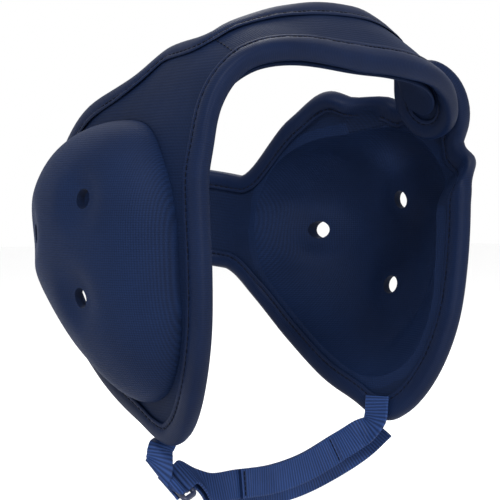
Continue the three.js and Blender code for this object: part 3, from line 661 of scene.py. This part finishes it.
# Row of webbing under the tape on a half's foot
def foot_row(half, row):
    def at(front, height):
        return half.surface(half.pattern_way(row[0] * PANEL, row[1] * PANEL + front), height)
    depth = TAPE_PROUD + LAYER_GAP + WEB_THICK / 2
    return at(0, -depth), unit(at(WEB / 2, 0) - at(-WEB / 2, 0))


RING_MIDDLE = share_vector(RING_PLACE, STRAP_SPAN) + MIDDLE
RING_LINE = unit(share_vector(RING_ALONG, 1))
RING_SIDE = share_vector(RING_ACROSS, 1)
RING_SIDE = unit(RING_SIDE - RING_LINE * (RING_SIDE @ RING_LINE))
RING_OUT = np.cross(RING_LINE, RING_SIDE)
RING_OUT = RING_OUT * (-1 if RING_OUT[1] > 0 else 1)
BAR_REACH = (RING_OPENING + RING_BAR) / 2
FOLD_RADIUS = RING_BAR / 2 + SEAT_GAP + WEB_THICK / 2


# Rows of webbing that come from one side to a bar of the ring, turn round it and go back
def ring_fold(side, lead):
    def row(across, out):
        return RING_MIDDLE + RING_SIDE * side * across + RING_OUT * out, RING_LINE
    fold = [row(BAR_REACH - math.sin(a) * FOLD_RADIUS, -math.cos(a) * FOLD_RADIUS)
            for a in np.linspace(0, math.pi, 5)]
    return [row(BAR_REACH + lead, -FOLD_RADIUS), *fold, row(BAR_REACH + lead, FOLD_RADIUS)]


# Rows of the keeper, from the right foot over its fold and round the ring's bar
def keeper_rows():
    feet = [foot_row(RIGHT, row) for row in KEEPER_FOOT]
    edges = [(share_vector(one, STRAP_SPAN), share_vector(two, STRAP_SPAN)) for one, two in KEEPER_FOLD]
    fold = [((one + two) / 2 + MIDDLE, (two - one) / WEB) for one, two in edges]
    return feet + fold + ring_fold(-1, KEEPER_LEAD)[::-1]


# Rows of the patch, on the outer face of the strap's upper layer
def patch_rows(upper):
    rows = []
    for i in range(PATCH_FIRST, PATCH_LAST + 1):
        place, width = upper[i]
        out = np.cross(upper[i + 1][0] - upper[i - 1][0], width)
        out = unit(out) * -np.sign(out[1])
        rows.append((place + out * (WEB_THICK + PATCH_GAP), width))
    return rows


# Places along the webbing's route, with its centre, way across and way out of its face there
def webbing_frame(rows):
    centre = curve_points([r[0] for r in rows], CURVE_STEPS)
    spread = curve_points([unit(r[1]) for r in rows], CURVE_STEPS)
    sizes = [np.linalg.norm(r[1]) for r in rows]
    width = np.interp(np.arange(len(centre)) / CURVE_STEPS, np.arange(len(rows)), sizes)
    at = distances(centre)
    places = np.linspace(0, at[-1], max(8, round(at[-1] / WEB_STEP)))
    middle = sample(centre, at, places)
    along = unit(sample(centre, at, places + 0.6) - sample(centre, at, places - 0.6))
    across = unit(sample(spread, at, places))
    # Webbing keeps its width along the ring's bar, and square to its own line away from the ring
    square = smoothstep(np.linalg.norm(middle - RING_MIDDLE, axis=1), *RING_HOLD)
    across = unit(across - along * ((across * along).sum(1) * square)[:, None])
    face = unit(np.cross(along, across))
    return places, middle, across * np.interp(places, at, width)[:, None], face


# Ribbed webbing along its route: rounded edges, thick selvedges and a rib every RIB_PITCH
def webbing(name, rows, material, thickness=WEB_THICK, seams=()):
    places, middle, across, face = webbing_frame(rows)
    turn = np.linspace(0, 2 * math.pi, 4 * WEB_CELLS + 1)
    x = np.sign(np.cos(turn)) * np.abs(np.cos(turn)) ** SECTION_POWER
    y = np.sign(np.sin(turn)) * np.abs(np.sin(turn)) ** SECTION_POWER
    rib = np.cos(2 * math.pi * places / RIB_PITCH)[:, None]
    inside = smoothstep(RIB_STOP - np.abs(x), 0, RIB_FADE)[None]
    selvedge = SELVEDGE * (np.abs(x) > SELVEDGE_FROM)[None]
    height = y[None] * (thickness / 2 + selvedge + RIB_HEIGHT * rib * inside)
    for seam in seams:
        height = height - y[None] * SEAM_DENT * np.exp(-((places - seam) / SEAM_REACH) ** 2)[:, None]
    edge = WEB / 2 * (1 + RIB_WAIST * rib)
    grid = middle[:, None] + across[:, None] * (x[None] * edge)[..., None] + face[:, None] * height[..., None]
    first, last = (np.repeat(end.mean(1, keepdims=True), len(x), 1) for end in (grid[:1], grid[-1:]))
    grid = np.concatenate([first, grid, last])
    u = np.concatenate([[places[0]], places, [places[-1]]])[:, None] + 0 * x[None]
    v = (x * WEB / 2)[None] + 0 * u
    bm = bmesh.new()
    add_grid(bm, grid, np.stack([u, v], -1))
    return finish_mesh(bm, name, material, weld=0.001, crease=50)


# Stitches across webbing at places along its route
def webbing_seams(name, rows, at, height, material):
    places, middle, across, face = webbing_frame(rows)
    out = []
    for place in at:
        i = int(np.abs(places - place).argmin())
        sign = -np.sign(face[i][1]) or 1
        for step in range(PATCH_STITCHES):
            side = (-0.5 + (step + 0.5) / PATCH_STITCHES) * (WEB - 2 * SEAM_MARGIN)
            spot = middle[i] + across[i] * side + face[i] * sign * height
            out.append((spot, across[i], face[i] * sign))
    return threads(name, out, material)


# Plastic ring with rounded bars and corners
def strap_ring(name, material):
    long, wide, corner = WEB / 2 + RING_SLACK + RING_BAR / 2, BAR_REACH, RING_CORNER
    path = []
    for sx, sy, start in ((1, 1, 0), (-1, 1, 90), (-1, -1, 180), (1, -1, 270)):
        for a in np.radians(np.linspace(start, start + 90, 9)):
            nx, ny = math.cos(a), math.sin(a)
            path.append((sx * (long - corner) + corner * nx, sy * (wide - corner) + corner * ny, nx, ny))
    path.append(path[0])
    turn = np.linspace(0, 2 * math.pi, 21)
    rows = []
    for px, py, nx, ny in path:
        out = np.cos(turn) * RING_BAR / 2
        rise = np.sin(turn) * RING_BAR / 2
        rows.append(RING_MIDDLE + (px + nx * out)[:, None] * RING_LINE + (py + ny * out)[:, None] * RING_SIDE
                    + rise[:, None] * RING_OUT)
    bm = bmesh.new()
    places = np.stack(rows)
    add_grid(bm, places, rows_uv(places))
    return finish_mesh(bm, name, material, weld=0.001)


# Linear colour of a hex sRGB code
def srgb(code):
    values = [int(code[i:i + 2], 16) / 255 for i in (1, 3, 5)]
    return [v / 12.92 if v <= 0.04045 else ((v + 0.055) / 1.055) ** 2.4 for v in values] + [1]


# Adds a node with its settings, and links or sets its inputs
def add(tree, kind, inputs=(), **settings):
    node = tree.nodes.new(kind)
    for key, value in settings.items():
        setattr(node, key, value)
    for key, value in dict(inputs).items():
        if isinstance(value, bpy.types.NodeSocket):
            tree.links.new(value, node.inputs[key])
        else:
            node.inputs[key].default_value = value
    return node


# Soft noise at places, with a scale and a detail
def speckle(tree, place, scale, detail):
    return add(tree, "ShaderNodeTexNoise", {"Vector": place, "Scale": scale, "Detail": detail}).outputs["Fac"]


# The wave texture makes 20 radians of wave per unit, and one wave for each pitch is wanted
WAVE_TURNS = 2 * math.pi / 20
# Scales of a cloth's wear and fuzz, and their shares in its colour and in its height, with the share of
# painted shade that darkens the grooves between its threads
CLOUD_SCALE, FUZZ_SCALE, MOTTLING, PAINTED_GROOVE_SHADE, FUZZ_HEIGHT, RELIEF = 28.0, 900.0, 0.35, 0.4, 0.35, 0.9
ROUGH_SPREAD, SPECULAR, SHEEN_ROUGHNESS, SHEEN_TINT = 0.08, 0.06, 0.4, "#5C7CC8"


# Knit or woven cloth: threads at a real pitch on the piece's own UV, with soft patches of wear in its colour
# and painted shade in the grooves between its threads
def cloth(name, dark, light, pitches, relief, roughness, sheen):
    material = bpy.data.materials.new(name)
    material.use_nodes = True
    tree = material.node_tree
    shader = tree.nodes["Principled BSDF"]
    uv = add(tree, "ShaderNodeTexCoord").outputs["UV"]
    place = add(tree, "ShaderNodeTexCoord").outputs["Object"]
    height = None
    for way, pitch, amount in pitches:
        wave = add(tree, "ShaderNodeTexWave", {"Vector": uv, "Scale": WAVE_TURNS / pitch, "Distortion": 0.5,
                                               "Detail": 1.0, "Detail Scale": 0.4},
                   bands_direction=way).outputs["Fac"]
        part = add(tree, "ShaderNodeMath", {0: wave, 1: amount}, operation="MULTIPLY").outputs[0]
        height = part if height is None else add(tree, "ShaderNodeMath", {0: height, 1: part},
                                                 operation="ADD").outputs[0]
    cloud, fuzz = speckle(tree, place, CLOUD_SCALE, 4.0), speckle(tree, place, FUZZ_SCALE, 2.0)
    shade = add(tree, "ShaderNodeMath", {0: cloud, 1: MOTTLING}, operation="MULTIPLY").outputs[0]
    # Painted shade: the colour darkens in the grooves between threads and ribs, on the same waves as the bump
    thread = add(tree, "ShaderNodeMath", {0: height, 1: PAINTED_GROOVE_SHADE}, operation="MULTIPLY").outputs[0]
    mottle_and_painted_shade = add(tree, "ShaderNodeMath", {0: shade, 1: thread}, operation="ADD", use_clamp=True).outputs[0]
    colour = add(tree, "ShaderNodeMix", {0: mottle_and_painted_shade, 6: srgb(dark), 7: srgb(light)}, data_type="RGBA")
    tree.links.new(colour.outputs[2], shader.inputs["Base Color"])
    rough = add(tree, "ShaderNodeMapRange", {0: fuzz, 3: roughness - ROUGH_SPREAD,
                                             4: roughness + ROUGH_SPREAD}).outputs[0]
    tree.links.new(rough, shader.inputs["Roughness"])
    fine = add(tree, "ShaderNodeMath", {0: fuzz, 1: FUZZ_HEIGHT}, operation="MULTIPLY").outputs[0]
    total = add(tree, "ShaderNodeMath", {0: height, 1: fine}, operation="ADD").outputs[0]
    bump = add(tree, "ShaderNodeBump", {"Height": total, "Strength": RELIEF, "Distance": relief * MM})
    tree.links.new(bump.outputs[0], shader.inputs["Normal"])
    shader.inputs["Sheen Weight"].default_value = sheen
    shader.inputs["Sheen Roughness"].default_value = SHEEN_ROUGHNESS
    shader.inputs["Sheen Tint"].default_value = srgb(SHEEN_TINT)
    shader.inputs["Specular IOR Level"].default_value = SPECULAR
    return material


# Moulded acetal: smooth with a soft gloss
def acetal(name, code):
    material = bpy.data.materials.new(name)
    material.use_nodes = True
    tree = material.node_tree
    shader = tree.nodes["Principled BSDF"]
    place = add(tree, "ShaderNodeTexCoord").outputs["Object"]
    grain = speckle(tree, place, 1200.0, 2.0)
    rough = add(tree, "ShaderNodeMapRange", {0: grain, 3: 0.3, 4: 0.42}).outputs[0]
    tree.links.new(rough, shader.inputs["Roughness"])
    bump = add(tree, "ShaderNodeBump", {"Height": grain, "Strength": 0.25, "Distance": 0.05 * MM})
    tree.links.new(bump.outputs[0], shader.inputs["Normal"])
    shader.inputs["Base Color"].default_value = srgb(code)
    shader.inputs["IOR"].default_value = 1.48
    return material


# Nylon jersey laminated to foam: a fine knit with a soft sheen
jersey = cloth("nylon_jersey", "#030817", "#0E1D3A", [("X", 1.2, 0.5), ("Y", 1.5, 0.4)], 0.14, 0.66, 0.04)
# The same jersey moulded over the cups, a little lighter where it is stretched
cup_jersey = cloth("moulded_nylon_jersey", "#030817", "#112243", [("X", 1.2, 0.5), ("Y", 1.2, 0.5)],
                   0.15, 0.64, 0.04)
# Elastic folded tape: fine ribs across it and a little more gloss
fold_tape = cloth("nylon_fold_tape", "#04091A", "#112140", [("X", 1.1, 0.6)], 0.1, 0.5, 0.04)
# Grosgrain webbing of polypropylene: brighter, with ribs across and painted shade in the grooves between them
grosgrain = cloth("grosgrain_webbing", "#060C1E", "#2A4274", [("X", RIB_PITCH, 1.0)], 0.1, 0.5, 0.05)
# Bonded nylon thread, darker than the cloth
thread = cloth("bonded_nylon_thread", "#04060E", "#0B1022", [("X", 0.8, 0.5)], 0.05, 0.5, 0.04)
# Hook-and-loop tape, dark and matt
hook_tape = cloth("hook_and_loop_tape", "#06080F", "#0E131F", [("X", 1.2, 0.6), ("Y", 1.2, 0.6)],
                  0.3, 0.9, 0.05)
# Acetal of the ring, dyed navy
plastic = acetal("moulded_acetal", "#111A33")

for half, side in ((RIGHT, "right"), (LEFT, "left")):
    settle(side_pad(half, f"padded_side_{side}", jersey), "jersey", f"side_pad_{side}")
    settle(edge_binding(half, f"folded_tape_{side}", fold_tape), "tape", f"edge_binding_{side}")
    settle(tape_stitches(half, f"tape_stitches_{side}", thread), "tape")
    settle(ear_cup(half, f"domed_cup_{side}", cup_jersey), "jersey", f"ear_cup_{side}")
settle(band_pad("padded_strip", jersey), "jersey", "band_pad")
settle(band_seam("band_seams", BAND_SEAMS, thread), "jersey")

upper_rows = strap_rows(STRAP_UPPER) + [foot_row(LEFT, row) for row in STRAP_FOOT]
strap_route = strap_rows(STRAP_LOWER)[::-1] + ring_fold(1, STRAP_LEAD) + upper_rows
settle(webbing("woven_chin_strap", strap_route, grosgrain), "webbing", "chin_strap")
patch_route = patch_rows(upper_rows)
patch_length = webbing_frame(patch_route)[0][-1]
patch_seams = (SEAM_INSET, patch_length - SEAM_INSET)
settle(webbing("woven_patch", patch_route, grosgrain, PATCH_THICK, patch_seams), "webbing", "strap_patch")
settle(webbing_seams("patch_stitches", patch_route, patch_seams, PATCH_STITCH_RISE, thread), "webbing")
settle(webbing("woven_keeper", keeper_rows(), grosgrain), "webbing", "strap_keeper")
settle(strap_ring("moulded_ring", plastic), "plastic", "strap_ring")

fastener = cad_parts["rear_fastener"]
fastener.data.materials.clear()
fastener.data.materials.append(hook_tape)

# Camera at the photograph's place: 42 degrees round to the wearer's right, nearly level, from 1 m
CAMERA_AZIMUTH, CAMERA_ELEVATION, CAMERA_DISTANCE = math.radians(-42), math.radians(1.5), 1.0
FRAME_FOCAL, FRAME_WIDTH, SENSOR, AIM_SIDE, CLIPS = 1786.0, 500.0, 36.0, 0.0062, (0.01, 20)
back = Vector((math.sin(CAMERA_AZIMUTH) * math.cos(CAMERA_ELEVATION),
               -math.cos(CAMERA_AZIMUTH) * math.cos(CAMERA_ELEVATION), math.sin(CAMERA_ELEVATION)))
aim = Vector(MIDDLE * MM) + Vector((math.cos(CAMERA_AZIMUTH), math.sin(CAMERA_AZIMUTH), 0)) * AIM_SIDE
camera = bpy.data.objects.new("camera", bpy.data.cameras.new("camera"))
camera.data.sensor_width = SENSOR
camera.data.lens = FRAME_FOCAL / FRAME_WIDTH * SENSOR
camera.data.clip_start, camera.data.clip_end = CLIPS
camera.location = aim + back * CAMERA_DISTANCE
camera.rotation_euler = back.to_track_quat("Z", "Y").to_euler()
bpy.context.scene.collection.objects.link(camera)
bpy.context.scene.camera = camera


# Round soft light at a place in metres, aimed at the guard
def soft_box(name, place, size, power):
    light = bpy.data.lights.new(name, "AREA")
    light.shape = "DISK"
    light.size = size
    light.energy = power
    lamp = bpy.data.objects.new(name, light)
    lamp.location = place
    lamp.rotation_euler = (Vector(place) - Vector(MIDDLE * MM)).to_track_quat("Z", "Y").to_euler()
    bpy.context.scene.collection.objects.link(lamp)


soft_box("key", (-1.2, -0.7, 1.3), 0.7, 44)
soft_box("fill", (-0.35, -1.7, -0.15), 0.8, 24)
soft_box("rim", (0.9, 1.2, 1.3), 0.7, 9)

FLOOR_DROP, FLOOR_REACH = 0.03, 6
floor_mesh = bmesh.new()
bmesh.ops.create_grid(floor_mesh, x_segments=1, y_segments=1, size=FLOOR_REACH,
                      matrix=Matrix.Translation((0, 0, cad_box[0][2] - FLOOR_DROP)))
floor_material = bpy.data.materials.new("matt_white_paper")
floor_material.use_nodes = True
floor_material.node_tree.nodes["Principled BSDF"].inputs["Base Color"].default_value = srgb("#FAFAFA")
floor_material.node_tree.nodes["Principled BSDF"].inputs["Roughness"].default_value = 0.9
floor = finish_mesh(floor_mesh, "paper_floor", floor_material)

world = bpy.data.worlds.new("studio")
bpy.context.scene.world = world
world.use_nodes = True
world.node_tree.nodes["Background"].inputs["Color"].default_value = srgb("#FFFFFF")
world.node_tree.nodes["Background"].inputs["Strength"].default_value = 1.0

bpy.context.scene.view_settings.view_transform = "Standard"
